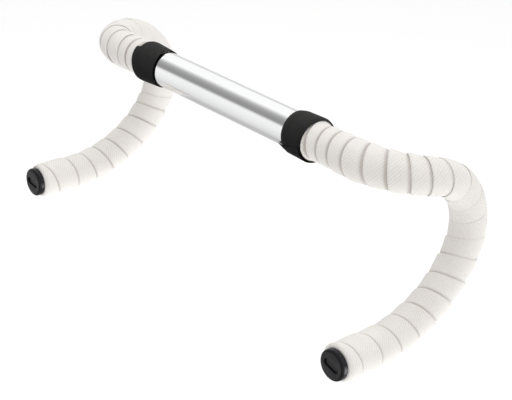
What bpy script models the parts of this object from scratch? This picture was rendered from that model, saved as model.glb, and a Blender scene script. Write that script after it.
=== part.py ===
"""Drop handlebar with wound bar tape, finishing tape and two expanding bar-end plugs.

Units are metres, +Z is up, +X is the rider's right and +Y is forward. The origin is
the middle of the stem clamp, on the tube's axis. The bar is symmetric in X, so its
centre line is worked out for the right half only and the left half is its mirror.
"""

import math

import bmesh
import bpy
import numpy as np
from mathutils import Matrix, Vector

MM = 0.001
GAP = 0.3 * MM                           # clearance between pieces that touch
SIDES = {"right": 1, "left": -1}

# Centre line of the right half, from the stem clamp to the bar end.
HALF_STRAIGHT = 151.5 * MM
FORWARD_BEND_RADIUS = 53.8 * MM
RAMP_SLOPE = math.radians(12.5)
HOOK_OVERLAP = 15.7 * MM                 # the hook begins before the forward bend is done
HOOK_ARCS = (                            # radius and angle, top of the hook to the drop
    (50.4 * MM, math.radians(107.6)),
    (95.8 * MM, math.radians(23.9)),
    (120.2 * MM, math.radians(38.3)),
)
BAR_END_STRAIGHT = 36.8 * MM
FLARE = math.radians(1.25)
FLARE_RUN = 60 * MM

# Alloy tube: 31.8 mm at the clamp, 23.8 mm under the tape.
CLAMP_RADIUS = 15.9 * MM
SHOULDER_RADIUS = 12.8 * MM
GRIP_RADIUS = 11.9 * MM
TAPER_START = 91 * MM
TAPER_SHOULDER = 106 * MM
TAPER_END = 140 * MM
TUBE_WALL = 2.0 * MM

# Bar tape: its outer radius at distances along the bar, first from its cut end to
# where it leaves the finishing tape on each side, then on to the bar end.
TAPE_HEADS = {
    "right": {86 * MM: 17.3 * MM, 107 * MM: 17.8 * MM, 111 * MM: 15.5 * MM},
    "left": {98 * MM: 16.0 * MM, 118 * MM: 16.8 * MM, 123 * MM: 15.7 * MM},
}
TAPE_RADII = {
    158 * MM: 16.6 * MM,
    232 * MM: 15.2 * MM,
    324 * MM: 15.1 * MM,
    416 * MM: 15.4 * MM,
    470 * MM: 16.4 * MM,
}
TAPE_TUCK_RADIUS = 15.5 * MM             # where the tape starts to fold over the tube's end
TAPE_LIP_RADIUS = 14.4 * MM
TAPE_OVERHANG = 0.3 * MM

# Finishing tape: its outer radius at distances along the bar. It climbs from the tube
# over the cut end of the bar tape.
FINISHING_RADII = {
    "right": {79.5 * MM: 17.4 * MM, 85 * MM: 18.7 * MM, 109.5 * MM: 19.3 * MM},
    "left": {91 * MM: 17.2 * MM, 97 * MM: 17.4 * MM, 121 * MM: 18.3 * MM},
}
FINISHING_THICKNESS = 1.0 * MM

# Bar-end plug. Along its axis 0 is the tube's end, and + points out of the bar.
FLANGE_BACK = 0.6 * MM
FLANGE_FRONT = 5.4 * MM
FLANGE_RADIUS = 13.3 * MM
FLANGE_EDGE = 1.3 * MM
HEAD_SEAT = 3.6 * MM                     # floor of the recess that takes the screw's head
SLEEVE_RADIUS = GRIP_RADIUS - TUBE_WALL - GAP
SLEEVE_END = -24 * MM
FINGER_ROOT = -12 * MM
FINGER_SLOT = 1.8 * MM
FINGER_ROOT_BORE = 6.8 * MM
FINGER_TIP_BORE = 8.3 * MM

# Expansion screw: a wide round head with a coin slot, on a plain shank.
HEAD_BACK = HEAD_SEAT + GAP
HEAD_FRONT = 6.0 * MM
HEAD_RADIUS = 11.5 * MM
HEAD_EDGE = 0.5 * MM
COIN_SLOT_LENGTH = 16.5 * MM
COIN_SLOT_WIDTH = 6.5 * MM
COIN_SLOT_DEPTH = 1.4 * MM
COIN_SLOT_TILT = {"right": math.radians(-16), "left": math.radians(-7)}
SHANK_RADIUS = 3.0 * MM
SHANK_END = -29 * MM

# Wedge nut: a cone between the sleeve's fingers, kept from turning by four keys.
WEDGE_FRONT = -15 * MM
WEDGE_BACK = -28 * MM
KEY_WIDTH = FINGER_SLOT - 2 * GAP
KEY_REACH = 9.1 * MM
KEY_FRONT = -17 * MM

# Mesh fineness.
LINE_STEPS = 2000
TUBE_SIDES = 16
PLUG_SIDES = 24
BEND_STEP = math.radians(9)
RUN_STEP = 60 * MM
EDGE_STEPS = 3
MERGE_DISTANCE = 0.01 * MM

ALLOY = ("polished_alloy", (0.83, 0.84, 0.85), 0.18, 1.0)
TAPE = ("white_bar_tape", (0.80, 0.77, 0.73), 0.75, 0.0)
FINISHING = ("black_finishing_tape", (0.02, 0.02, 0.02), 0.8, 0.0)
PLASTIC = ("black_plastic", (0.025, 0.025, 0.028), 0.45, 0.0)
STEEL = ("zinc_plated_nut", (0.55, 0.55, 0.56), 0.4, 1.0)


# ---------------------------------------------------------------- centre line

def bar_angles(distances):
    """Heading in plan and pitch of the centre line, and the half length of the bar."""
    bend_length = FORWARD_BEND_RADIUS * math.pi / 2
    hook_start = HALF_STRAIGHT + bend_length - HOOK_OVERLAP
    bend_share = np.clip((distances - HALF_STRAIGHT) / bend_length, 0, 1)
    flare_share = np.clip((distances - hook_start) / FLARE_RUN, 0, 1)
    heading = math.pi / 2 * bend_share - FLARE * flare_share
    pitch = np.full_like(distances, -RAMP_SLOPE)
    arc_start = hook_start
    for radius, angle in HOOK_ARCS:
        arc_length = radius * angle
        pitch -= angle * np.clip((distances - arc_start) / arc_length, 0, 1)
        arc_start += arc_length
    return heading, pitch, arc_start + BAR_END_STRAIGHT


def tangents_at(distances):
    heading, pitch, _ = bar_angles(distances)
    forward = np.sin(heading)
    return np.stack((np.cos(heading), forward * np.cos(pitch), forward * np.sin(pitch)), axis=1)


def trace_centre_line():
    """Distances, points, tangents and untwisted normals of the right half."""
    _, _, half_length = bar_angles(np.zeros(1))
    distances = np.linspace(0, half_length, LINE_STEPS + 1)
    middles = (distances[1:] + distances[:-1]) / 2
    moves = tangents_at(middles) * (half_length / LINE_STEPS)
    points = np.vstack((np.zeros((1, 3)), np.cumsum(moves, axis=0)))
    tangents = tangents_at(distances)
    normals = np.empty_like(tangents)
    normal = np.array((0.0, 0.0, 1.0))
    for row, tangent in enumerate(tangents):
        normal = normal - tangent * normal.dot(tangent)
        normal = normal / np.linalg.norm(normal)
        normals[row] = normal
    return distances, points, tangents, normals


DISTANCES, POINTS, TANGENTS, NORMALS = trace_centre_line()
BAR_LENGTH = float(DISTANCES[-1])


def frame_at(station):
    """Point, outward tangent, normal and side vector at a signed distance along the bar."""
    distance = abs(station)
    point, tangent, normal = (
        np.array([np.interp(distance, DISTANCES, table[:, axis]) for axis in range(3)])
        for table in (POINTS, TANGENTS, NORMALS)
    )
    point = point + tangent * max(0, distance - BAR_LENGTH)
    side = np.cross(tangent, normal)
    mirror = np.array((math.copysign(1, station), 1, 1))
    return [Vector(vector * mirror) for vector in (point, tangent, normal, side)]


def bar_stations(marks):
    """Distances through all the marks, close together where the bar bends."""
    turns = np.linalg.norm(np.diff(TANGENTS, axis=0), axis=1)
    pace = DISTANCES / RUN_STEP + np.append(0, np.cumsum(turns)) / BEND_STEP
    stations = [marks[0]]
    for low, high in zip(marks, marks[1:]):
        first, last = np.interp((low, high), DISTANCES, pace)
        count = max(1, math.ceil(last - first))
        between = np.interp(np.linspace(first, last, count + 1)[1:-1], pace, DISTANCES)
        stations.extend(float(distance) for distance in between)
        stations.append(high)
    return stations


# Pieces that lie on each other share their stations, so that their facets stay parallel.
STATIONS = bar_stations(sorted({
    0.0, TAPER_START, TAPER_SHOULDER, TAPER_END, BAR_LENGTH,
    *TAPE_HEADS["right"], *TAPE_HEADS["left"], *TAPE_RADII,
}))


def tube_radius(distance):
    marks = (TAPER_START, TAPER_SHOULDER, TAPER_END)
    return float(np.interp(distance, marks, (CLAMP_RADIUS, SHOULDER_RADIUS, GRIP_RADIUS)))


def tape_radius(side, distance):
    radii = {**TAPE_HEADS[side], **TAPE_RADII}
    return float(np.interp(distance, list(radii), list(radii.values())))


# ---------------------------------------------------------------- mesh helpers

def clear_scene():
    for thing in list(bpy.data.objects):
        bpy.data.objects.remove(thing, do_unlink=True)


def make_material(name, color, roughness, metallic):
    if name in bpy.data.materials:
        return bpy.data.materials[name]
    material = bpy.data.materials.new(name)
    material.use_nodes = True
    shader = material.node_tree.nodes["Principled BSDF"]
    shader.inputs["Base Color"].default_value = (*color, 1)
    shader.inputs["Roughness"].default_value = roughness
    shader.inputs["Metallic"].default_value = metallic
    return material


def add_object(name, bm, look=None, matrix=None):
    """Turn a bmesh into a smooth-shaded object; without a look it is a hidden cutter."""
    bmesh.ops.recalc_face_normals(bm, faces=bm.faces)
    mesh = bpy.data.meshes.new(name)
    bm.to_mesh(mesh)
    bm.free()
    thing = bpy.data.objects.new(name, mesh)
    bpy.context.collection.objects.link(thing)
    if matrix is not None:
        thing.matrix_world = matrix
    if look is None:
        thing.hide_render = True
        thing.display_type = "WIRE"
        return thing
    mesh.shade_smooth()
    mesh.set_sharp_from_angle(angle=math.radians(35))
    mesh.materials.append(make_material(*look))
    return thing


def add_boolean(thing, tool, operation):
    modifier = thing.modifiers.new(tool.name, "BOOLEAN")
    modifier.operation = operation
    modifier.object = tool
    modifier.solver = "EXACT"


def add_ring(bm, station, radius):
    point, _, normal, side = frame_at(station)
    ring = []
    for index in range(TUBE_SIDES):
        angle = 2 * math.pi * index / TUBE_SIDES
        offset = normal * math.cos(angle) + side * math.sin(angle)
        ring.append(bm.verts.new(point + offset * radius))
    return ring


def sweep_wall(name, look, sections):
    """A tube wall through sections of (signed station, outer radius, inner radius)."""
    bm = bmesh.new()
    outer = [add_ring(bm, station, radius) for station, radius, _ in sections]
    inner = [add_ring(bm, station, radius) for station, _, radius in sections]
    loop = outer + inner[::-1]
    for ring, following in zip(loop, loop[1:] + loop[:1]):
        for index in range(TUBE_SIDES):
            after = (index + 1) % TUBE_SIDES
            bm.faces.new((ring[index], ring[after], following[after], following[index]))
    return add_object(name, bm, look)


def turn_profile(name, look, matrix, outline):
    """Revolve (height, radius) points about the local Z axis."""
    bm = bmesh.new()
    verts = [bm.verts.new((radius, 0, height)) for height, radius in outline]
    pairs = list(zip(verts, verts[1:]))
    if outline[0][1] > 0:
        pairs.append((verts[-1], verts[0]))
    edges = [bm.edges.new(pair) for pair in pairs]
    bmesh.ops.spin(bm, geom=verts + edges, cent=(0, 0, 0), axis=(0, 0, 1),
                   angle=2 * math.pi, steps=PLUG_SIDES, use_merge=True)
    bmesh.ops.remove_doubles(bm, verts=bm.verts, dist=MERGE_DISTANCE)
    return add_object(name, bm, look, matrix)


def box_between(name, matrix, low, high):
    bm = bmesh.new()
    low, high = Vector(low), Vector(high)
    placing = Matrix.Translation((low + high) / 2) @ Matrix.Diagonal((*(high - low), 1))
    bmesh.ops.create_cube(bm, size=1, matrix=placing)
    return add_object(name, bm, matrix=matrix)


def rounded_corner(height, radius, edge):
    """Points of a quarter round between a rim of this radius and a face at this height."""
    points = []
    for step in range(EDGE_STEPS + 1):
        angle = math.pi / 2 * step / EDGE_STEPS
        points.append((height - edge * (1 - math.sin(angle)), radius - edge * (1 - math.cos(angle))))
    return points


# ---------------------------------------------------------------- pieces on the bar

def build_tube():
    half = [(station, tube_radius(station), tube_radius(station) - TUBE_WALL) for station in STATIONS]
    mirrored = [(-station, outer, inner) for station, outer, inner in reversed(half[1:])]
    sweep_wall("handlebar_tube", ALLOY, mirrored + half)


def sweep_side(name, look, side, sections):
    """Sweep the sections of a piece that lies on one half of the bar."""
    sign = SIDES[side]
    sections = [(sign * station, outer, inner) for station, outer, inner in sections]
    sweep_wall(name, look, sections[::sign])


def build_bar_tape(side):
    start = min(TAPE_HEADS[side])
    sections = [(station, tape_radius(side, station), tube_radius(station) + GAP)
                for station in STATIONS if start <= station < BAR_LENGTH]
    grip_bore = GRIP_RADIUS + GAP
    sections.append((BAR_LENGTH, TAPE_TUCK_RADIUS, grip_bore))
    sections.append((BAR_LENGTH + TAPE_OVERHANG, TAPE_LIP_RADIUS, grip_bore))
    sweep_side(f"bar_tape_{side}", TAPE, side, sections)


def build_finishing_tape(side):
    sections = [(station, radius, radius - FINISHING_THICKNESS)
                for station, radius in FINISHING_RADII[side].items()]
    sweep_side(f"finishing_tape_{side}", FINISHING, side, sections)


# ---------------------------------------------------------------- bar-end plugs

def plug_matrix(side):
    """The plug's frame: Z points out of the bar, Y up, X to the rider's right."""
    point, outward, _, _ = frame_at(SIDES[side] * BAR_LENGTH)
    across = (Vector((1, 0, 0)) - outward * outward.x).normalized()
    up = outward.cross(across)
    return Matrix.Translation(point) @ Matrix((across, up, outward)).transposed().to_4x4()


def finger_bore(height):
    """Radius inside the sleeve's fingers, which widens towards their tips."""
    share = (height - FINGER_ROOT) / (SLEEVE_END - FINGER_ROOT)
    return FINGER_ROOT_BORE + (FINGER_TIP_BORE - FINGER_ROOT_BORE) * share


def build_plug_body(side):
    matrix = plug_matrix(side)
    shank_bore = SHANK_RADIUS + GAP
    head_bore = HEAD_RADIUS + GAP
    outline = [
        (HEAD_SEAT, shank_bore),
        (FINGER_ROOT, shank_bore),
        (FINGER_ROOT, finger_bore(FINGER_ROOT)),
        (SLEEVE_END, finger_bore(SLEEVE_END)),
        (SLEEVE_END, SLEEVE_RADIUS),
        (FLANGE_BACK, SLEEVE_RADIUS),
        (FLANGE_BACK, FLANGE_RADIUS),
        *rounded_corner(FLANGE_FRONT, FLANGE_RADIUS, FLANGE_EDGE),
        (FLANGE_FRONT, head_bore),
        (HEAD_SEAT, head_bore),
    ]
    body = turn_profile(f"plug_body_{side}", PLASTIC, matrix, outline)
    for index, (reach_x, reach_y) in enumerate(((1, 0), (0, 1))):
        half_x = CLAMP_RADIUS if reach_x else FINGER_SLOT / 2
        half_y = CLAMP_RADIUS if reach_y else FINGER_SLOT / 2
        low = (-half_x, -half_y, SLEEVE_END - GAP)
        high = (half_x, half_y, FINGER_ROOT)
        add_boolean(body, box_between(f"finger_cutter_{side}_{index}", matrix, low, high), "DIFFERENCE")


def build_expansion_screw(side):
    matrix = plug_matrix(side)
    outline = [
        (SHANK_END, 0),
        (SHANK_END, SHANK_RADIUS),
        (HEAD_BACK, SHANK_RADIUS),
        (HEAD_BACK, HEAD_RADIUS),
        *rounded_corner(HEAD_FRONT, HEAD_RADIUS, HEAD_EDGE),
        (HEAD_FRONT, 0),
    ]
    screw = turn_profile(f"expansion_screw_{side}", PLASTIC, matrix, outline)
    add_boolean(screw, build_coin_slot_cutter(side, matrix), "DIFFERENCE")


def build_coin_slot_cutter(side, matrix):
    """A bar with round ends, sunk into the screw's head."""
    bm = bmesh.new()
    reach = (COIN_SLOT_LENGTH - COIN_SLOT_WIDTH) / 2
    floor = HEAD_FRONT - COIN_SLOT_DEPTH
    outline = []
    for step in range(PLUG_SIDES + 2):
        half_turn = step // (PLUG_SIDES // 2 + 1)
        angle = math.pi * 2 * (step - half_turn) / PLUG_SIDES - math.pi / 2
        middle = reach if half_turn == 0 else -reach
        x = middle + COIN_SLOT_WIDTH / 2 * math.cos(angle)
        y = COIN_SLOT_WIDTH / 2 * math.sin(angle)
        outline.append(bm.verts.new((x, y, floor)))
    face = bm.faces.new(outline)
    raised = bmesh.ops.extrude_face_region(bm, geom=[face])["geom"]
    moved = [item for item in raised if isinstance(item, bmesh.types.BMVert)]
    bmesh.ops.translate(bm, verts=moved, vec=(0, 0, 2 * COIN_SLOT_DEPTH))
    tilt = Matrix.Rotation(COIN_SLOT_TILT[side], 4, "Z")
    return add_object(f"coin_slot_cutter_{side}", bm, matrix=matrix @ tilt)


def build_wedge_nut(side):
    matrix = plug_matrix(side)
    outline = [
        (WEDGE_BACK, 0),
        (WEDGE_BACK, finger_bore(WEDGE_BACK) - GAP),
        (WEDGE_FRONT, finger_bore(WEDGE_FRONT) - GAP),
        (WEDGE_FRONT, 0),
    ]
    nut = turn_profile(f"wedge_nut_{side}", STEEL, matrix, outline)
    for index, (reach_x, reach_y) in enumerate(((1, 0), (0, 1))):
        half_x = KEY_REACH if reach_x else KEY_WIDTH / 2
        half_y = KEY_REACH if reach_y else KEY_WIDTH / 2
        low = (-half_x, -half_y, WEDGE_BACK + GAP)
        high = (half_x, half_y, KEY_FRONT)
        add_boolean(nut, box_between(f"key_{side}_{index}", matrix, low, high), "UNION")
    bore_outline = [
        (WEDGE_BACK - SHANK_RADIUS, 0),
        (WEDGE_BACK - SHANK_RADIUS, SHANK_RADIUS + GAP),
        (WEDGE_FRONT + SHANK_RADIUS, SHANK_RADIUS + GAP),
        (WEDGE_FRONT + SHANK_RADIUS, 0),
    ]
    bore = turn_profile(f"nut_bore_cutter_{side}", None, matrix, bore_outline)
    add_boolean(nut, bore, "DIFFERENCE")


def build_handlebar():
    clear_scene()
    build_tube()
    for side in SIDES:
        build_bar_tape(side)
        build_finishing_tape(side)
        build_plug_body(side)
        build_expansion_screw(side)
        build_wedge_nut(side)


build_handlebar()
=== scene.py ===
"""Looks of the drop handlebar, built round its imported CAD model.

Units are metres, +Z up, +X the rider's right, +Y forward, and the origin is the middle
of the stem clamp. The tapes are real strips wound round the bar, so their overlaps,
steps and ends are geometry. Every piece follows the CAD model's centre line.
"""

import math

import bpy
import numpy as np
from mathutils import Matrix, Vector


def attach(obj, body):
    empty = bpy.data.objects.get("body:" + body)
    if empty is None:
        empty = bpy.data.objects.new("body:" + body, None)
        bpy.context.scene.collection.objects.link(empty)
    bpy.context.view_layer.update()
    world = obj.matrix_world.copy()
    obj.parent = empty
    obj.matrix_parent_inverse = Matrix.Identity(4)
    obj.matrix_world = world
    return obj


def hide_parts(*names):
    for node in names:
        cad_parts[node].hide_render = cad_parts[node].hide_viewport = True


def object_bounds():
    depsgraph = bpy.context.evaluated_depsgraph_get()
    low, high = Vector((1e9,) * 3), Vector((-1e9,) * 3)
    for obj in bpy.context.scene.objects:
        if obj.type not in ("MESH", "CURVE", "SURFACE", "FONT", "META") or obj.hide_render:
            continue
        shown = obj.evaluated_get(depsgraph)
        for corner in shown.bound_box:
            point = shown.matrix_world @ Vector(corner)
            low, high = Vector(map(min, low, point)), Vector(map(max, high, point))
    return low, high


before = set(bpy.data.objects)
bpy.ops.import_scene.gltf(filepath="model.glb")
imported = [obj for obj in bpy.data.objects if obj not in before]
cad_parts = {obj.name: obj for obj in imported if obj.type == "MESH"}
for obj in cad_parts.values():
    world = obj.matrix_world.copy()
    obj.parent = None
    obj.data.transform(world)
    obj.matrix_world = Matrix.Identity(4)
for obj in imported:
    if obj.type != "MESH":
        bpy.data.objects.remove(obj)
CAD_LOW, CAD_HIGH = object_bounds()

MM = 0.001
SIDES = {"right": 1, "left": -1}

# Centre line of the right half, as in the CAD source.
HALF_STRAIGHT = 151.5 * MM
FORWARD_BEND_RADIUS = 53.8 * MM
RAMP_SLOPE = math.radians(12.5)
HOOK_OVERLAP = 15.7 * MM
HOOK_ARCS = (
    (50.4 * MM, math.radians(107.6)),
    (95.8 * MM, math.radians(23.9)),
    (120.2 * MM, math.radians(38.3)),
)
BAR_END_STRAIGHT = 36.8 * MM
FLARE = math.radians(1.25)
FLARE_RUN = 60 * MM
LINE_STEPS = 4000

# Tube.
CLAMP_RADIUS = 15.9 * MM
SHOULDER_RADIUS = 12.8 * MM
GRIP_RADIUS = 11.9 * MM
TAPER_MARKS = (91 * MM, 106 * MM, 140 * MM)
TUBE_WALL = 2.0 * MM
TUBE_STEP = 2.5 * MM
TUBE_SIDES = 96
RIM_EASE = 0.4 * MM

# Bar tape: mean outer radius along the bar, and the winding.
TAPE_HEADS = {
    "right": {86 * MM: 17.2 * MM, 107 * MM: 17.6 * MM, 111 * MM: 15.6 * MM},
    "left": {98 * MM: 16.0 * MM, 118 * MM: 16.7 * MM, 123 * MM: 15.7 * MM},
}
TAPE_RADII = {
    158 * MM: 16.6 * MM,
    232 * MM: 15.3 * MM,
    324 * MM: 15.2 * MM,
    416 * MM: 15.4 * MM,
    468 * MM: 16.2 * MM,
}
TAPE_WIDTH = 30 * MM
TAPE_THICKNESS = 2.0 * MM
WIDEST_OVERLAP = 1.75                    # strip width over pitch, at most
TAPE_EDGES = {                           # turn number and place in mm of the strip's inner edge
    "right": ((-2, 87), (0, 108), (2, 133), (4, 165), (6, 196), (8, 224), (11, 278), (13, 314),
              (15, 354), (18, 412), (20, 455), (20.8, 474)),
    "left": ((-2, 99), (0, 127), (1, 138), (2, 149), (3, 165), (11, 307), (13, 335),
             (15, 375), (17, 411), (19, 450), (19.7, 472)),
}
# How far each turn's edge stands up from the last turn; stretching flattens it in the bend.
TAPE_STEPS = {
    "right": {100 * MM: 1.2 * MM, 195 * MM: 1.15 * MM, 222 * MM: 0.5 * MM, 240 * MM: 0.15 * MM,
              278 * MM: 0.15 * MM, 300 * MM: 0.8 * MM, 325 * MM: 1.15 * MM, 470 * MM: 1.3 * MM},
    "left": {100 * MM: 1.2 * MM, 140 * MM: 1.0 * MM, 168 * MM: 0.6 * MM, 195 * MM: 0.15 * MM,
             285 * MM: 0.15 * MM, 305 * MM: 0.8 * MM, 325 * MM: 1.15 * MM, 470 * MM: 1.3 * MM},
}
# Painted shade in the creases: each crease is darkest round this angle, first on the tops and then past
# the bend, and how much less darkened it is on the other side of the bar, along the bar.
SHADED_CREASE_ANGLES = {"right": (math.radians(80), math.radians(180)),
                 "left": (math.radians(300), math.radians(180))}
ONE_SIDED = {"right": {130 * MM: 0.1, 200 * MM: 0.8, 325 * MM: 0.8, 370 * MM: 0.35},
             "left": {110 * MM: 0.95, 200 * MM: 0.9, 325 * MM: 0.8, 370 * MM: 0.35}}
FULL_STEP = 1.2 * MM
TAPE_SHOULDER = 1.6 * MM                 # rounding of a turn's free edge
GROOVE_WIDTH = 3.2 * MM                  # dip in front of the next turn's edge
GROOVE_DEPTH = 0.55 * MM
TAPE_FOLD = 3.0 * MM                     # rounding where the tape turns in over the tube's end
TAPE_OVERHANG = 0.3 * MM
TAPE_CROWN = 0.15 * MM
TAPE_SWELL = 0.22 * MM                   # slow unevenness of its thickness
EDGE_WOBBLE = 0.8 * MM
SQUEEZE_RUN = 6 * MM                     # run over which covered padding is squeezed thin
CONTACT_GAP = 0.05 * MM
ROWS_PER_TURN = 60

# Finishing tape: outer radius along the bar, over the cut end of the bar tape; the stretch it
# spans; and how far it is drawn in at the rear, at its inner and its outer edge.
FINISHING_RADII = {
    "right": {76 * MM: 16.0 * MM, 82 * MM: 17.6 * MM, 87 * MM: 18.7 * MM, 108 * MM: 19.3 * MM,
              110.5 * MM: 18.5 * MM},
    "left": {94 * MM: 17.0 * MM, 99 * MM: 17.4 * MM, 117.8 * MM: 18.4 * MM, 123.5 * MM: 18.0 * MM},
}
FINISHING_SPAN = {"right": (82 * MM, 110.5 * MM), "left": (94 * MM, 120.3 * MM)}
FINISHING_WAIST = {"right": (0.5 * MM, 3.4 * MM), "left": (-3.6 * MM, 0.0)}
FINISHING_LAYER = 0.28 * MM
FINISHING_TURNS = 3.3
FINISHING_END = {"right": math.radians(100), "left": math.radians(-14)}
FINISHING_WAY = {"right": 1, "left": -1}                    # which way round the end points
FINISHING_STRAY = {"right": (-6.0 * MM, 0.0), "left": (0.0, 4.5 * MM)}
FINISHING_SLANT = math.radians(24)
FINISHING_LIFT = 0.25 * MM
FINISHING_DRIFT = 1.8 * MM
FINISHING_WOBBLE = 0.25 * MM
FINISHING_COLUMNS = 22

SEEDS = {"right": 7, "left": 21}

# Plug, along its own axis from the tube's end.
FLANGE_BACK = 0.6 * MM
FLANGE_FRONT = 5.4 * MM
FLANGE_RADIUS = 13.3 * MM
FLANGE_EDGE = 1.4 * MM
HEAD_SEAT = 3.6 * MM
HEAD_BORE = 11.8 * MM
SLEEVE_RADIUS = 9.6 * MM
SLEEVE_END = -24 * MM
FINGER_ROOT = -12 * MM
FINGER_SLOT = 1.8 * MM
FINGER_BORES = (6.8 * MM, 8.3 * MM)
SHANK_BORE = 3.3 * MM
HEAD_BACK = 3.9 * MM
HEAD_FRONT = 6.0 * MM
HEAD_RADIUS = 11.5 * MM
HEAD_EDGE = 0.45 * MM
COIN_SLOT_LENGTH = 16.5 * MM
COIN_SLOT_WIDTH = 6.5 * MM
COIN_SLOT_DEPTH = 1.4 * MM
COIN_SLOT_TILT = {"right": math.radians(-16), "left": math.radians(-7)}
SHANK_RADIUS = 3.0 * MM
SHANK_END = -29 * MM
THREAD_PITCH = 1.0 * MM
LATHE_SIDES = 96

# Studio. Light bands: degrees from straight up towards the rear, and brightness.
LIGHT_BANDS = (
    (-180, 0.50), (-148, 0.70), (-124, 0.84), (-95, 0.90), (-84, 0.66), (-74, 0.70),
    (-62, 1.04), (-2, 1.06), (10, 0.72), (22, 0.44), (44, 0.31), (60, 0.31), (72, 0.90),
    (80, 0.98), (110, 0.92), (140, 0.80), (164, 0.60), (180, 0.50),
)
FLOOR_REACH = 6.0
FLOOR_DROP = 0.25
CAMERA_PLACE = (0.9583, -0.7830, 0.5266)
CAMERA_AZIMUTH = math.radians(49.81)     # to the right of straight behind
CAMERA_ELEVATION = math.radians(26.67)
CAMERA_ROLL = math.radians(0.14)
CAMERA_LENS = 110.71
SENSOR_WIDTH = 36


# ---------------------------------------------------------------- centre line

def bar_angles(distances):
    """Heading in plan, pitch, and the half length of the bar."""
    bend_length = FORWARD_BEND_RADIUS * math.pi / 2
    hook_start = HALF_STRAIGHT + bend_length - HOOK_OVERLAP
    bend_share = np.clip((distances - HALF_STRAIGHT) / bend_length, 0, 1)
    flare_share = np.clip((distances - hook_start) / FLARE_RUN, 0, 1)
    heading = math.pi / 2 * bend_share - FLARE * flare_share
    pitch = np.full_like(distances, -RAMP_SLOPE)
    arc_start = hook_start
    for radius, angle in HOOK_ARCS:
        arc_length = radius * angle
        pitch -= angle * np.clip((distances - arc_start) / arc_length, 0, 1)
        arc_start += arc_length
    return heading, pitch, arc_start + BAR_END_STRAIGHT


def tangents_at(distances):
    heading, pitch, _ = bar_angles(distances)
    forward = np.sin(heading)
    return np.stack((np.cos(heading), forward * np.cos(pitch), forward * np.sin(pitch)), axis=1)


def trace_centre_line():
    """Distances, points, tangents and untwisted normals of the right half."""
    _, _, half_length = bar_angles(np.zeros(1))
    distances = np.linspace(0, half_length, LINE_STEPS + 1)
    middles = (distances[1:] + distances[:-1]) / 2
    moves = tangents_at(middles) * (half_length / LINE_STEPS)
    points = np.vstack((np.zeros((1, 3)), np.cumsum(moves, axis=0)))
    tangents = tangents_at(distances)
    normals = np.empty_like(tangents)
    normal = np.array((0.0, 0.0, 1.0))
    for row, tangent in enumerate(tangents):
        normal = normal - tangent * normal.dot(tangent)
        normal = normal / np.linalg.norm(normal)
        normals[row] = normal
    return distances, points, tangents, normals


DISTANCES, POINTS, TANGENTS, NORMALS = trace_centre_line()
BAR_LENGTH = float(DISTANCES[-1])


def place_on_bar(side, distances, angles, radii):
    """World points at distances along one half, angles round it and radii from its axis.

    An angle of 0 is on top, and angles turn right-handed about the outward direction."""
    distances, angles, radii = np.broadcast_arrays(distances, angles, radii)
    flat = distances.ravel()

    def read(table):
        return np.stack([np.interp(flat, DISTANCES, table[:, axis]) for axis in range(3)], axis=1)

    tangents = read(TANGENTS)
    points = read(POINTS) + tangents * np.maximum(0, flat - BAR_LENGTH)[:, None]
    normals = read(NORMALS)
    sides = np.cross(tangents, normals)
    turned = (angles * SIDES[side]).ravel()[:, None]
    offsets = normals * np.cos(turned) + sides * np.sin(turned)
    placed = points + offsets * radii.ravel()[:, None]
    placed[:, 0] *= SIDES[side]
    return placed.reshape(*distances.shape, 3)


def tube_radius(distances):
    return np.interp(distances, TAPER_MARKS, (CLAMP_RADIUS, SHOULDER_RADIUS, GRIP_RADIUS))


def smooth_step(values, low, high):
    share = np.clip((values - low) / (high - low), 0, 1)
    return share * share * (3 - 2 * share)


def ripple(values, seed, waves=5, lowest=0.35, highest=2.4):
    """A smooth, seeded wobble between about -1 and 1."""
    rng = np.random.default_rng(seed)
    total = np.zeros_like(values, dtype=float)
    for _ in range(waves):
        total += np.sin(values * rng.uniform(lowest, highest) + rng.uniform(0, 2 * math.pi))
    return total / math.sqrt(2 * waves) / 1.3


# ---------------------------------------------------------------- mesh helpers

def make_object(name, points, faces, uvs=None, smooth=40):
    mesh = bpy.data.meshes.new(name)
    mesh.from_pydata([tuple(point) for point in points], [], faces)
    if uvs is not None:
        layer = mesh.uv_layers.new(name="strip")
        corners = np.empty(len(mesh.loops), dtype=np.int32)
        mesh.loops.foreach_get("vertex_index", corners)
        layer.data.foreach_set("uv", np.asarray(uvs, dtype=np.float32)[corners].ravel())
    mesh.validate()
    mesh.update()
    mesh.shade_smooth()
    mesh.set_sharp_from_angle(angle=math.radians(smooth))
    thing = bpy.data.objects.new(name, mesh)
    bpy.context.collection.objects.link(thing)
    return thing


def tube_faces(rows, columns, closed_rows=False, flipped=False):
    """Quads between rows of a ring-by-ring grid, with end caps unless the rows close."""
    faces = []
    for row in range(rows if closed_rows else rows - 1):
        following = (row + 1) % rows
        for column in range(columns):
            after = (column + 1) % columns
            faces.append((row * columns + column, row * columns + after,
                          following * columns + after, following * columns + column))
    if not closed_rows:
        faces.append(tuple(range(columns))[::-1])
        faces.append(tuple(range((rows - 1) * columns, rows * columns)))
    if flipped:
        faces = [face[::-1] for face in faces]
    return faces


def signed_volume(thing):
    """Six times the volume inside a mesh, negative when its faces point in."""
    mesh = thing.data
    mesh.calc_loop_triangles()
    total = 0.0
    for triangle in mesh.loop_triangles:
        a, b, c = (mesh.vertices[index].co for index in triangle.vertices)
        total += a.dot(b.cross(c))
    return total


def face_outward(thing):
    if signed_volume(thing) < 0:
        thing.data.flip_normals()


def finish_piece(thing, material, body, node):
    thing.data.materials.append(material)
    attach(thing, body)
    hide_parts(node)


# ---------------------------------------------------------------- materials

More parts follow.
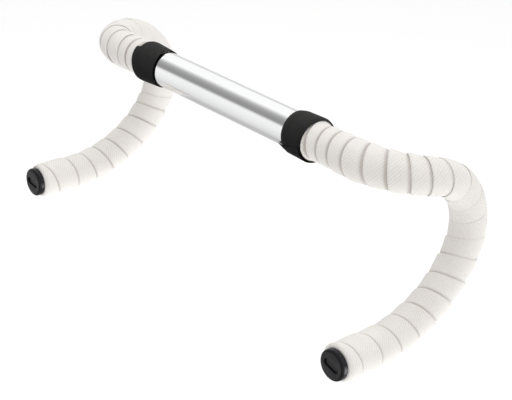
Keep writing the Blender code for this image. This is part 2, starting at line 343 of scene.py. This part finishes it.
class NodeBuilder:
    """Adds shader nodes to one material in few words."""

    def __init__(self, name):
        self.material = bpy.data.materials.new(name)
        self.material.use_nodes = True
        self.tree = self.material.node_tree
        self.shader = self.tree.nodes["Principled BSDF"]

    def plug(self, socket, value):
        if isinstance(value, bpy.types.NodeSocket):
            self.tree.links.new(value, socket)
        else:
            socket.default_value = value

    def add(self, kind, inputs=(), output=0, **settings):
        node = self.tree.nodes.new(kind)
        for key, value in settings.items():
            setattr(node, key, value)
        for key, value in dict(inputs).items():
            self.plug(node.inputs[key], value)
        return node.outputs[output]

    def math(self, operation, first, second=0.0, third=0.0):
        return self.add("ShaderNodeMath", {0: first, 1: second, 2: third}, operation=operation)

    def mix(self, share, first, second):
        node = self.tree.nodes.new("ShaderNodeMix")
        node.data_type = "RGBA"
        self.plug(node.inputs["Factor"], share)
        self.plug(node.inputs["A"], (*first, 1) if isinstance(first, tuple) else first)
        self.plug(node.inputs["B"], (*second, 1) if isinstance(second, tuple) else second)
        return node.outputs["Result"]

    def coordinates(self, kind="Object", scale=(1, 1, 1)):
        where = self.add("ShaderNodeTexCoord")
        node = where.node
        return self.add("ShaderNodeMapping", {"Vector": node.outputs[kind], "Scale": scale})

    def noise(self, vector, scale, detail=3.0, roughness=0.5):
        return self.add("ShaderNodeTexNoise", {"Vector": vector, "Scale": scale,
                                               "Detail": detail, "Roughness": roughness})

    def ramp(self, value, low, high, to_low=0.0, to_high=1.0):
        return self.add("ShaderNodeMapRange", {"Value": value, "From Min": low, "From Max": high,
                                               "To Min": to_low, "To Max": to_high})

    def bump(self, height, strength, distance):
        return self.add("ShaderNodeBump",
                        {"Height": height, "Strength": strength, "Distance": distance})

    def wave(self, vector, along, across, period):
        """Sine ridges over UV metres, a period apart, square to the direction given."""
        parts = self.add("ShaderNodeSeparateXYZ", {"Vector": vector}).node.outputs
        size = math.hypot(along, across) * period / (2 * math.pi)
        first = self.math("MULTIPLY", parts[0], along / size)
        phase = self.math("MULTIPLY_ADD", parts[1], across / size, first)
        return self.math("SINE", phase)


def alloy_material():
    """Polished drawn alloy: clear reflections, faint lengthwise polishing lines."""
    make = NodeBuilder("polished_alloy")
    lengthwise = make.coordinates("Object", (6, 900, 900))
    lines = make.noise(lengthwise, 1.0, 4.0, 0.6)
    cloud = make.noise(make.coordinates("Object"), 30.0, 2.0)
    make.plug(make.shader.inputs["Base Color"],
              make.mix(cloud, (0.90, 0.905, 0.91), (0.94, 0.94, 0.94)))
    make.shader.inputs["Metallic"].default_value = 1.0
    rough = make.math("MULTIPLY_ADD", lines, 0.08, 0.10)
    make.plug(make.shader.inputs["Roughness"], rough)
    make.plug(make.shader.inputs["Normal"], make.bump(lines, 0.05, 0.02 * MM))
    return make.material


def bar_tape_material():
    """Off-white padded tape with a fine diagonal emboss, worn in patches, with painted shade in its
    creases.
    """
    make = NodeBuilder("white_bar_tape")
    uv = make.coordinates("UV")
    ridges = make.wave(uv, 0.62, 0.78, 1.9 * MM)
    cross = make.wave(uv, 0.9, -0.43, 0.9 * MM)
    pores = make.noise(make.coordinates("Object"), 1300.0, 4.0, 0.65)
    cloud = make.noise(make.coordinates("Object"), 24.0, 3.0)
    wear = make.ramp(make.noise(make.coordinates("Object"), 45.0, 2.0), 0.35, 0.6, 0.55, 1.0)
    relief = make.math("MULTIPLY", make.math("MULTIPLY", ridges, 0.5), wear)
    relief = make.math("MULTIPLY_ADD", cross, 0.12, relief)
    relief = make.math("MULTIPLY_ADD", pores, 0.6, relief)
    shade = make.math("MULTIPLY", make.ramp(ridges, -1.0, 0.2, 0.26, 0.0), wear)
    crease = make.add("ShaderNodeAttribute", attribute_name="crease", output=2)
    color = make.mix(cloud, (0.85, 0.81, 0.77), (0.90, 0.885, 0.86))
    color = make.mix(shade, color, (0.56, 0.52, 0.48))
    color = make.mix(make.ramp(pores, 0.58, 0.40, 0.0, 0.30), color, (0.60, 0.56, 0.52))
    # Painted shade: the colour is darkened in the crease along the next turn's edge.
    color = make.mix(make.math("MULTIPLY", crease, 0.72), color, (0.34, 0.29, 0.26))
    make.plug(make.shader.inputs["Base Color"], color)
    make.plug(make.shader.inputs["Roughness"], make.ramp(pores, 0.3, 0.7, 0.62, 0.80))
    make.shader.inputs["Specular IOR Level"].default_value = 0.35
    make.shader.inputs["Sheen Weight"].default_value = 0.12
    make.shader.inputs["Sheen Roughness"].default_value = 0.5
    make.plug(make.shader.inputs["Normal"], make.bump(relief, 0.8, 0.2 * MM))
    return make.material


def finishing_tape_material():
    """Black woven cloth tape: a small square weave, with painted light making what faces up lighter, in
    patches.
    """
    make = NodeBuilder("black_finishing_tape")
    uv = make.coordinates("UV")
    warp = make.wave(uv, 1.0, 0.0, 0.7 * MM)
    weft = make.wave(uv, 0.0, 1.0, 0.7 * MM)
    weave = make.math("MULTIPLY", warp, weft)
    cloud = make.noise(make.coordinates("Object"), 160.0, 4.0, 0.65)
    height = make.math("MULTIPLY_ADD", cloud, 0.8, weave)
    facing = make.add("ShaderNodeNewGeometry", output=1)
    upward = make.add("ShaderNodeSeparateXYZ", {"Vector": facing}, output=2)
    # Painted light: surfaces facing up are made lighter, in patches.
    painted_top_light = make.ramp(upward, -0.4, 0.9)
    painted_top_light = make.math("MULTIPLY", painted_top_light, make.ramp(cloud, 0.3, 0.7, 0.6, 1.0))
    make.plug(make.shader.inputs["Base Color"],
              make.mix(painted_top_light, (0.003, 0.003, 0.003), (0.031, 0.0305, 0.030)))
    make.plug(make.shader.inputs["Roughness"], make.ramp(cloud, 0.3, 0.7, 0.6, 0.8))
    make.shader.inputs["Specular IOR Level"].default_value = 0.11
    make.plug(make.shader.inputs["Normal"], make.bump(height, 0.4, 0.05 * MM))
    return make.material


def plug_material():
    """Black moulded plastic with a fine spark grain and light scuffs, with painted shade: ambient
    occlusion takes the reflection out of its recesses.
    """
    make = NodeBuilder("black_moulded_plastic")
    where = make.coordinates("Object")
    grain = make.noise(where, 2600.0, 2.0)
    scuffs = make.noise(make.coordinates("Object", (260, 260, 90)), 1.0, 5.0, 0.7)
    worn = make.ramp(scuffs, 0.62, 0.72)
    make.plug(make.shader.inputs["Base Color"],
              make.mix(make.math("MULTIPLY", worn, 0.4), (0.006, 0.006, 0.008), (0.024, 0.024, 0.026)))
    make.plug(make.shader.inputs["Roughness"], make.ramp(scuffs, 0.3, 0.8, 0.26, 0.42))
    # Painted shade: less reflection where ambient occlusion finds a recess, which darkens the slot's
    # floor.
    openness = make.add("ShaderNodeAmbientOcclusion", {"Distance": 3 * MM}, output=1)
    make.plug(make.shader.inputs["Specular IOR Level"], make.ramp(openness, 0.55, 0.97, 0.0, 0.30))
    make.plug(make.shader.inputs["Normal"], make.bump(grain, 0.25, 0.03 * MM))
    return make.material


def wedge_material():
    """Plain cast alloy for the hidden wedge nut."""
    make = NodeBuilder("cast_wedge_alloy")
    grain = make.noise(make.coordinates("Object"), 900.0, 4.0, 0.6)
    make.plug(make.shader.inputs["Base Color"],
              make.mix(grain, (0.42, 0.42, 0.43), (0.62, 0.62, 0.63)))
    make.shader.inputs["Metallic"].default_value = 1.0
    make.plug(make.shader.inputs["Roughness"], make.ramp(grain, 0.3, 0.7, 0.38, 0.55))
    make.plug(make.shader.inputs["Normal"], make.bump(grain, 0.3, 0.05 * MM))
    return make.material


# ---------------------------------------------------------------- pieces on the bar

def build_tube(material):
    """The whole tube, outside and bore, with eased rims at its two ends."""
    half = np.arange(0, BAR_LENGTH - TUBE_STEP, TUBE_STEP)
    half = np.concatenate((half, [BAR_LENGTH - RIM_EASE]))
    outer = [(station, tube_radius(station)) for station in half]
    outer.append((BAR_LENGTH, GRIP_RADIUS - RIM_EASE))
    inner = [(station, tube_radius(station) - TUBE_WALL) for station in half]
    inner.append((BAR_LENGTH, GRIP_RADIUS - TUBE_WALL + RIM_EASE))
    profiles = {"right": outer + inner[::-1]}
    profiles["left"] = [(station, radius) for station, radius in profiles["right"][::-1] if station > 0]
    angles = np.linspace(0, 2 * math.pi, TUBE_SIDES, endpoint=False)
    rings = []
    for side, profile in profiles.items():
        stations, radii = np.array(profile).T[:, :, None]
        rings.append(place_on_bar(side, stations, angles[None] * SIDES[side], radii))
    loop = np.concatenate(rings)
    faces = tube_faces(len(loop), TUBE_SIDES, closed_rows=True)
    tube = make_object("alloy_tube", loop.reshape(-1, 3), faces)
    face_outward(tube)
    finish_piece(tube, material, "bar", "handlebar_tube")


def wind_strip(name, side, turns, columns, creases=None, slant=0.0):
    """A closed strip wound round the bar.

    turns counts turns row by row, and columns is a list of (across, distance, radius)
    arrays that go once round the strip's section. creases says how much each point lies
    in the crease along the next turn's edge, for the shading. slant is added to the angles."""
    angles = 2 * math.pi * turns
    across = np.stack([column[0] for column in columns], axis=1)
    distance = np.stack([column[1] for column in columns], axis=1)
    radius = np.stack([column[2] for column in columns], axis=1)
    points = place_on_bar(side, distance, angles[:, None] + slant, radius)
    middle = points[:, 0]
    steps = np.linalg.norm(np.diff(middle, axis=0), axis=1)
    along = np.concatenate(([0.0], np.cumsum(steps)))
    uvs = np.stack((np.broadcast_to(along[:, None], across.shape), across), axis=2)
    faces = tube_faces(len(turns), len(columns))
    strip = make_object(name, points.reshape(-1, 3), faces, uvs.reshape(-1, 2), smooth=50)
    if creases is not None:
        layer = strip.data.attributes.new("crease", "FLOAT", "POINT")
        layer.data.foreach_set("value", np.stack(creases, axis=1).ravel().astype(np.float32))
    face_outward(strip)
    return strip, float(along[-1])


def edge_places(side, turns):
    """Where the strip's inner edge lies: an even pace through the marks, smoothed, and a wobble."""
    marks = np.array(TAPE_EDGES[side])
    window = np.hanning(ROWS_PER_TURN + 1)
    pace = np.interp(turns, marks[:, 0], marks[:, 1] * MM)
    padded = np.pad(pace, ROWS_PER_TURN // 2, mode="reflect", reflect_type="odd")
    pace = np.convolve(padded, window / window.sum(), "valid")
    wobble = ripple(turns * 2 * math.pi, SEEDS[side], lowest=0.25, highest=1.1) * EDGE_WOBBLE
    return pace + wobble * smooth_step(turns, turns[0] + 1, turns[0] + 2)


class TapeSection:
    """The section of a wound strip at every row: its outer and inner surface."""

    def __init__(self, side, turns):
        angles = turns * 2 * math.pi
        self.radii = {**TAPE_HEADS[side], **TAPE_RADII}
        self.edges = edge_places(side, turns)
        self.measure_overlap(turns)
        self.swell = ripple(angles, SEEDS[side] + 1, lowest=0.5, highest=3.2) * TAPE_SWELL
        # The first turn lies on the tube, and the strip climbs onto itself as the second starts.
        self.climb = smooth_step(turns, turns[0] + 0.9, turns[0] + 1.1)
        steps = TAPE_STEPS[side]
        self.step = np.interp(self.edges, list(steps), list(steps.values()))
        self.groove = GROOVE_DEPTH * self.step / FULL_STEP
        self.shade_creases(side, angles)

    def measure_overlap(self, turns):
        """The pitch to the next turn, the strip's width, and how much of it is covered."""
        following = np.interp(turns + 1, turns, self.edges)
        last_pitch = self.edges[-1] - self.edges[-1 - ROWS_PER_TURN]
        following = np.where(turns + 1 <= turns[-1], following, self.edges + last_pitch)
        self.pitch = following - self.edges
        width = np.minimum(TAPE_WIDTH, WIDEST_OVERLAP * self.pitch)
        left_to_cover = BAR_LENGTH + 1.2 * TAPE_FOLD - self.edges
        self.width = np.minimum(width, np.maximum(left_to_cover, 2 * MM))
        self.pitch = np.minimum(self.pitch, self.width - 0.2 * MM)
        self.covered = self.width - self.pitch

    def shade_creases(self, side, angles):
        """How dark the painted shade in the crease is round each turn, and how far out of the groove it
        reaches.
        """
        patchy = 0.9 + 0.25 * ripple(angles, SEEDS[side] + 3, lowest=0.4, highest=2.9)
        shade_first, shade_last = SHADED_CREASE_ANGLES[side]
        past_bend = smooth_step(self.edges, 190 * MM, 290 * MM)
        shaded_angle = shade_first + (shade_last - shade_first) * past_bend
        away = 0.5 - 0.5 * np.cos(angles - shaded_angle)
        sided = ONE_SIDED[side]
        one_sided = np.interp(self.edges, list(sided), list(sided.values()))
        # Painted shade along the crease: stronger where the step is higher, weaker on the far side of the
        # bar.
        self.crease_shade = np.clip(patchy * (self.step / FULL_STEP) ** 2, 0, 1) * (1 - one_sided * away)
        # On the tops the turns lie closer, and the painted shade fills more of the groove.
        self.shade_reach = np.interp(self.edges, (150 * MM, 230 * MM), (1.1 * MM, 0.2 * MM))

    def mean_radius(self, places):
        return np.interp(places, list(self.radii), list(self.radii.values()))

    def outer(self, across):
        """High behind the free edge, sloping down to a groove where the next turn starts."""
        share = np.minimum(across / self.pitch, 1)
        slope = self.step * (0.5 - share) * (1 - 0.5 * (1 - self.climb))
        crown = TAPE_CROWN * np.sin(math.pi * share)
        shoulder = self.step * (1 - np.sqrt(1 - np.clip(1 - across / TAPE_SHOULDER, 0, 1) ** 2))
        groove = self.groove * smooth_step(across, self.pitch - GROOVE_WIDTH, self.pitch)
        under = np.maximum(across - self.pitch, 0)
        sink = self.step * under / self.pitch
        sink = sink + (TAPE_THICKNESS - self.step) * smooth_step(under, 0, SQUEEZE_RUN)
        places = self.edges + across
        radii = self.mean_radius(places) + slope + crown - shoulder - groove - sink + self.swell
        return places, radii

    def inner(self, across):
        """On the last turn at first, then on the tube."""
        places = self.edges + across
        on_tube = tube_radius(places) + CONTACT_GAP
        under_edge = self.step * 0.9 + self.groove
        padding = (TAPE_THICKNESS - self.step) * smooth_step(across, 0, SQUEEZE_RUN)
        share = np.minimum(across / self.pitch, 1)
        slope = self.step * (0.5 - share)
        on_last = self.mean_radius(places) + slope - under_edge - padding + self.swell
        on_last = np.maximum(on_last, on_tube)
        resting = smooth_step(across, self.covered - 3 * MM, self.covered + 3 * MM)
        return places, on_last + (on_tube - on_last) * np.maximum(resting, 1 - self.climb)

    def crease(self, across):
        """How much a point lies in the crease along the next turn's edge, from 0 to 1, scaled by how dark
        the painted shade there is.
        """
        darkest = self.pitch - self.shade_reach
        return self.crease_shade * smooth_step(across, darkest - GROOVE_WIDTH + 0.4 * MM, darkest)


def fold_end(places, radii, floor):
    """Turn what lies past the tube's end inwards round a corner."""
    start = BAR_LENGTH + TAPE_OVERHANG - TAPE_FOLD
    bend = np.clip((places - start) / TAPE_FOLD, 0, math.pi / 2)
    past = places > start
    folded = np.where(past, start + TAPE_FOLD * np.sin(bend), places)
    lowered = np.maximum(radii - TAPE_FOLD * (1 - np.cos(bend)), floor)
    return folded, np.where(past, lowered, radii)


def build_bar_tape(side, material):
    """The padded strip, wound from the tops out to the bar end, each turn over the last."""
    first, last = TAPE_EDGES[side][0][0], TAPE_EDGES[side][-1][0]
    turns = np.arange(first, last - 0.10, 1 / ROWS_PER_TURN)
    section = TapeSection(side, turns)
    outer_floor = GRIP_RADIUS + 0.6 * MM
    inner_floor = GRIP_RADIUS + CONTACT_GAP
    shoulder = [np.full_like(turns, TAPE_SHOULDER * share)
                for share in (0, 0.06, 0.2, 0.45, 0.75, 1)]
    field = section.pitch - TAPE_SHOULDER - GROOVE_WIDTH
    field = [TAPE_SHOULDER + field * share for share in (0.17, 0.33, 0.5, 0.67, 0.83, 1)]
    groove = [section.pitch - GROOVE_WIDTH * share for share in (0.8, 0.6, 0.4, 0.2, 0)]
    covered = [section.pitch + section.covered * share for share in (0.12, 0.35, 0.65, 0.92)]
    above = shoulder + field + groove + covered
    below = [section.width * share for share in (1.0, 0.85, 0.65, 0.45, 0.25, 0.1, 0.0)]
    columns = [(across, *fold_end(*section.outer(across), outer_floor)) for across in above]
    columns += [(across, *fold_end(*section.inner(across), inner_floor)) for across in below]
    creases = [section.crease(across) for across in above + below]
    strip, length = wind_strip(f"wound_bar_tape_{side}", side, turns, columns, creases)
    finish_piece(strip, material, "bar", f"bar_tape_{side}")


def build_finishing_tape(side, material):
    """Three and a bit turns of thin cloth tape, its loose end cut aslant and gone astray."""
    radii = FINISHING_RADII[side]
    low, high = FINISHING_SPAN[side]
    to_go = np.arange(FINISHING_TURNS, 0, -1 / ROWS_PER_TURN)
    places_round = FINISHING_END[side] / (2 * math.pi) + FINISHING_WAY[side] * to_go
    angles = places_round * 2 * math.pi
    drift = FINISHING_DRIFT * to_go / FINISHING_TURNS
    loose = smooth_step(-to_go, -0.3, 0)
    rear = SIDES[side] * math.pi / 2
    drawn_in = (0.5 + 0.5 * np.cos(angles - rear)) ** 2
    wobble = ripple(angles, SEEDS[side] + 2, lowest=0.3, highest=1.4) * FINISHING_WOBBLE
    inner_waist, outer_waist = (waist * drawn_in for waist in FINISHING_WAIST[side])
    low_stray, high_stray = FINISHING_STRAY[side]
    low_edges = low + drift + wobble + inner_waist + low_stray * loose
    high_edges = high - FINISHING_DRIFT + drift + wobble - outer_waist + high_stray * loose

    def column(share, layer):
        edges = low_edges + (high_edges - low_edges) * share
        even = low + (high - low) * share
        middle = np.interp(even + (edges - even) * loose, list(radii), list(radii.values()))
        layers = FINISHING_LAYER * (layer - to_go)
        return np.full_like(edges, even - low), edges, middle + layers + FINISHING_LIFT * loose

    shares = np.linspace(0, 1, FINISHING_COLUMNS)
    columns = [column(share, 0.96) for share in shares]
    columns += [column(share, 0.04) for share in shares[::-1]]
    around = np.concatenate((shares, shares[::-1]))
    slant = FINISHING_SLANT * loose[:, None] * (0.5 - around[None])
    strip, length = wind_strip(f"wound_finishing_tape_{side}", side, places_round, columns,
                               slant=slant)
    finish_piece(strip, material, "bar", f"finishing_tape_{side}")


# ---------------------------------------------------------------- bar-end plugs

def plug_matrix(side):
    """The plug's frame: Z points out of the bar, Y up, X to the rider's right."""
    mirror = np.array((SIDES[side], 1, 1))
    point = Vector(POINTS[-1] * mirror)
    outward = Vector(TANGENTS[-1] * mirror)
    across = (Vector((1, 0, 0)) - outward * outward.x).normalized()
    up = outward.cross(across)
    return Matrix.Translation(point) @ Matrix((across, up, outward)).transposed().to_4x4()


def lathe_points(outline, sides=LATHE_SIDES):
    angles = np.linspace(0, 2 * math.pi, sides, endpoint=False)
    outline = np.array(outline)
    rings = np.stack((
        outline[:, 1, None] * np.cos(angles),
        outline[:, 1, None] * np.sin(angles),
        np.broadcast_to(outline[:, 0, None], (len(outline), sides)),
    ), axis=2)
    return rings


def turned_object(name, outline, hollow, matrix):
    """Revolve (height, radius) points; a solid's ends are capped, a hollow's outline closes."""
    rings = lathe_points(outline)
    faces = tube_faces(len(outline), LATHE_SIDES, closed_rows=hollow)
    thing = make_object(name, rings.reshape(-1, 3), faces)
    thing.data.transform(matrix)
    face_outward(thing)
    return thing


def eased_corner(height, radius, edge, steps=6):
    """A quarter round between a rim of this radius and a face at this height."""
    points = []
    for step in range(steps + 1):
        angle = math.pi / 2 * step / steps
        points.append((height - edge * (1 - math.sin(angle)), radius - edge * (1 - math.cos(angle))))
    return points


def prism(name, outline, low, high, matrix):
    """A straight prism over (x, y) points, used as a cutter."""
    count = len(outline)
    points = [(x, y, low) for x, y in outline] + [(x, y, high) for x, y in outline]
    faces = [tuple(range(count))[::-1], tuple(range(count, 2 * count))]
    for index in range(count):
        after = (index + 1) % count
        faces.append((index, after, count + after, count + index))
    thing = make_object(name, points, faces)
    thing.data.transform(matrix)
    face_outward(thing)
    return thing


def cut(thing, cutters):
    """Apply a difference with each cutter, then remove the cutters."""
    for cutter in cutters:
        modifier = thing.modifiers.new("cut", "BOOLEAN")
        modifier.operation = "DIFFERENCE"
        modifier.solver = "EXACT"
        modifier.object = cutter
    bevel = thing.modifiers.new("ease", "BEVEL")
    bevel.width = 0.12 * MM
    bevel.segments = 2
    bevel.limit_method = "ANGLE"
    bevel.angle_limit = math.radians(50)
    depsgraph = bpy.context.evaluated_depsgraph_get()
    cut_mesh = bpy.data.meshes.new_from_object(thing.evaluated_get(depsgraph))
    thing.modifiers.clear()
    thing.data = cut_mesh
    thing.data.shade_smooth()
    thing.data.set_sharp_from_angle(angle=math.radians(35))
    for cutter in cutters:
        bpy.data.objects.remove(cutter, do_unlink=True)


def stadium(length, width, tilt, steps=24):
    points = []
    reach = (length - width) / 2
    for end in (1, -1):
        for step in range(steps + 1):
            angle = math.pi * step / steps - math.pi / 2 + (0 if end == 1 else math.pi)
            x = end * reach + width / 2 * math.cos(angle)
            y = width / 2 * math.sin(angle)
            points.append((x * math.cos(tilt) - y * math.sin(tilt),
                           x * math.sin(tilt) + y * math.cos(tilt)))
    return points


def build_plug_body(side, material):
    matrix = plug_matrix(side)
    root_bore, tip_bore = FINGER_BORES
    outline = [
        (HEAD_SEAT, SHANK_BORE),
        (FINGER_ROOT, SHANK_BORE),
        (FINGER_ROOT, root_bore),
        (SLEEVE_END, tip_bore),
        (SLEEVE_END, SLEEVE_RADIUS - 0.4 * MM),
        (SLEEVE_END + 1.2 * MM, SLEEVE_RADIUS),
    ]
    for rib in range(4):
        top = SLEEVE_END + (3.0 + 4.5 * rib) * MM
        outline += [(top, SLEEVE_RADIUS), (top + 0.3 * MM, SLEEVE_RADIUS - 0.5 * MM),
                    (top + 2.4 * MM, SLEEVE_RADIUS - 0.5 * MM), (top + 3.3 * MM, SLEEVE_RADIUS)]
    outline += [(FLANGE_BACK, SLEEVE_RADIUS), (FLANGE_BACK, FLANGE_RADIUS - 0.3 * MM),
                (FLANGE_BACK + 0.3 * MM, FLANGE_RADIUS)]
    outline += eased_corner(FLANGE_FRONT, FLANGE_RADIUS, FLANGE_EDGE)
    outline += [(FLANGE_FRONT, HEAD_BORE + 0.2 * MM), (FLANGE_FRONT - 0.2 * MM, HEAD_BORE),
                (HEAD_SEAT, HEAD_BORE)]
    body = turned_object(f"moulded_plug_body_{side}", outline, True, matrix)
    half = FINGER_SLOT / 2
    reach = 2 * SLEEVE_RADIUS
    bars = [[(-reach, -half), (reach, -half), (reach, half), (-reach, half)],
            [(-half, -reach), (half, -reach), (half, reach), (-half, reach)]]
    cutters = [prism(f"finger_cutter_{index}", bar, SLEEVE_END - 1 * MM, FINGER_ROOT, matrix)
               for index, bar in enumerate(bars)]
    cut(body, cutters)
    finish_piece(body, material, f"plug_{side}", f"plug_body_{side}")


def build_expansion_screw(side, material):
    matrix = plug_matrix(side)
    outline = [(SHANK_END, SHANK_RADIUS - 0.6 * MM), (SHANK_END + 0.6 * MM, SHANK_RADIUS)]
    height = SHANK_END + 1.0 * MM
    while height < SLEEVE_END + 14 * MM:
        outline += [(height, SHANK_RADIUS), (height + THREAD_PITCH / 2, SHANK_RADIUS - 0.45 * MM)]
        height += THREAD_PITCH
    outline += [(height, SHANK_RADIUS), (HEAD_BACK, SHANK_RADIUS), (HEAD_BACK, HEAD_RADIUS - 0.3 * MM),
                (HEAD_BACK + 0.3 * MM, HEAD_RADIUS)]
    outline += eased_corner(HEAD_FRONT, HEAD_RADIUS, HEAD_EDGE)
    screw = turned_object(f"coin_slot_screw_{side}", outline, False, matrix)
    slot = stadium(COIN_SLOT_LENGTH, COIN_SLOT_WIDTH, COIN_SLOT_TILT[side])
    cut(screw, [prism("slot_cutter", slot, HEAD_FRONT - COIN_SLOT_DEPTH, HEAD_FRONT + 1 * MM, matrix)])
    finish_piece(screw, material, f"screw_{side}", f"expansion_screw_{side}")


# ---------------------------------------------------------------- studio

def build_floor():
    mesh = bpy.data.meshes.new("studio_floor")
    height = CAD_LOW.z - FLOOR_DROP
    corners = [(x * FLOOR_REACH, y * FLOOR_REACH, height) for x, y in ((-1, -1), (1, -1), (1, 1), (-1, 1))]
    mesh.from_pydata(corners, [], [(0, 1, 2, 3)])
    floor = bpy.data.objects.new("studio_floor", mesh)
    bpy.context.collection.objects.link(floor)
    make = NodeBuilder("studio_white")
    make.shader.inputs["Base Color"].default_value = (0.93, 0.93, 0.93, 1)
    make.shader.inputs["Roughness"].default_value = 0.9
    make.shader.inputs["Emission Color"].default_value = (1, 1, 1, 1)
    make.shader.inputs["Emission Strength"].default_value = 0.15
    mesh.materials.append(make.material)
    floor.visible_glossy = False
    floor.visible_diffuse = False


def angle_round_bar(tree):
    """The direction's angle round the X axis, from 0 to 1, with straight up in the middle."""
    add, link = tree.nodes.new, tree.links.new
    where = add("ShaderNodeTexCoord")
    parts = add("ShaderNodeSeparateXYZ")
    link(where.outputs["Generated"], parts.inputs[0])
    backward = add("ShaderNodeMath")
    backward.operation = "MULTIPLY"
    backward.inputs[1].default_value = -1
    link(parts.outputs[1], backward.inputs[0])
    angle = add("ShaderNodeMath")
    angle.operation = "ARCTAN2"
    link(backward.outputs[0], angle.inputs[0])
    link(parts.outputs[2], angle.inputs[1])
    share = add("ShaderNodeMapRange")
    share.inputs["From Min"].default_value = -math.pi
    share.inputs["From Max"].default_value = math.pi
    link(angle.outputs[0], share.inputs["Value"])
    return share.outputs[0]


def build_world():
    """A light tent: bright overhead and in front, with a dim strip on the viewer's side."""
    world = bpy.data.worlds.new("light_tent")
    world.use_nodes = True
    bpy.context.scene.world = world
    tree = world.node_tree
    add, link = tree.nodes.new, tree.links.new
    ramp = add("ShaderNodeValToRGB")
    link(angle_round_bar(tree), ramp.inputs[0])
    elements = ramp.color_ramp.elements
    elements[0].position = 0.0
    elements[1].position = 1.0
    for place, level in LIGHT_BANDS:
        position = (place + 180) / 360
        if position in (0.0, 1.0):
            element = elements[0] if position == 0.0 else elements[len(elements) - 1]
        else:
            element = elements.new(position)
        element.color = (level, level, level, 1)
    background = tree.nodes["Background"]
    link(ramp.outputs[0], background.inputs["Color"])
    background.inputs["Strength"].default_value = 1.0
    plain = add("ShaderNodeBackground")
    plain.inputs["Color"].default_value = (1, 1, 1, 1)
    rays = add("ShaderNodeLightPath")
    chooser = add("ShaderNodeMixShader")
    link(rays.outputs["Is Camera Ray"], chooser.inputs[0])
    link(background.outputs[0], chooser.inputs[1])
    link(plain.outputs[0], chooser.inputs[2])
    link(chooser.outputs[0], tree.nodes["World Output"].inputs["Surface"])


def add_softbox(name, location, target, size, power, mirrored=False):
    light = bpy.data.lights.new(name, "AREA")
    light.shape = "RECTANGLE"
    light.size, light.size_y = size
    light.energy = power
    box = bpy.data.objects.new(name, light)
    bpy.context.collection.objects.link(box)
    box.location = location
    box.rotation_euler = (Vector(target) - Vector(location)).to_track_quat("-Z", "Y").to_euler()
    box.visible_glossy = mirrored
    box.visible_camera = False


def build_camera():
    """The view from behind the bar, to the rider's right and above."""
    back = Vector((math.sin(CAMERA_AZIMUTH) * math.cos(CAMERA_ELEVATION),
                   -math.cos(CAMERA_AZIMUTH) * math.cos(CAMERA_ELEVATION),
                   math.sin(CAMERA_ELEVATION)))
    level = Vector((math.cos(CAMERA_AZIMUTH), math.sin(CAMERA_AZIMUTH), 0))
    right = Matrix.Rotation(CAMERA_ROLL, 3, back) @ level
    turned = Matrix((right, back.cross(right), back)).transposed()
    data = bpy.data.cameras.new("camera")
    data.sensor_width = SENSOR_WIDTH
    data.lens = CAMERA_LENS
    data.clip_start = 0.01
    data.clip_end = 50
    camera = bpy.data.objects.new("camera", data)
    bpy.context.collection.objects.link(camera)
    camera.matrix_world = Matrix.Translation(CAMERA_PLACE) @ turned.to_4x4()
    bpy.context.scene.camera = camera


build_camera()
build_world()
build_floor()
add_softbox("overhead_softbox", (0.1, -0.3, 1.6), (0, 0, 0), (1.6, 1.6), 12)
add_softbox("floor_bounce", (0.2, 0.1, -1.2), (0, 0, 0), (2.6, 2.6), 26)
add_softbox("low_side_softbox", (1.1, 0.7, -0.73), (0.1, 0, -0.1), (0.8, 0.8), 12, mirrored=True)
add_softbox("right_softbox", (0.95, -0.35, -0.3), (0.2, -0.05, -0.1), (0.5, 0.5), 0.4)
bpy.context.scene.view_settings.view_transform = "Standard"

plastic = plug_material()
wedge_alloy = wedge_material()
build_tube(alloy_material())
white = bar_tape_material()
black = finishing_tape_material()
for side in SIDES:
    build_bar_tape(side, white)
    build_finishing_tape(side, black)
    build_plug_body(side, plastic)
    build_expansion_screw(side, plastic)
    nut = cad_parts[f"wedge_nut_{side}"]
    for slot in nut.material_slots:
        slot.material = wedge_alloy
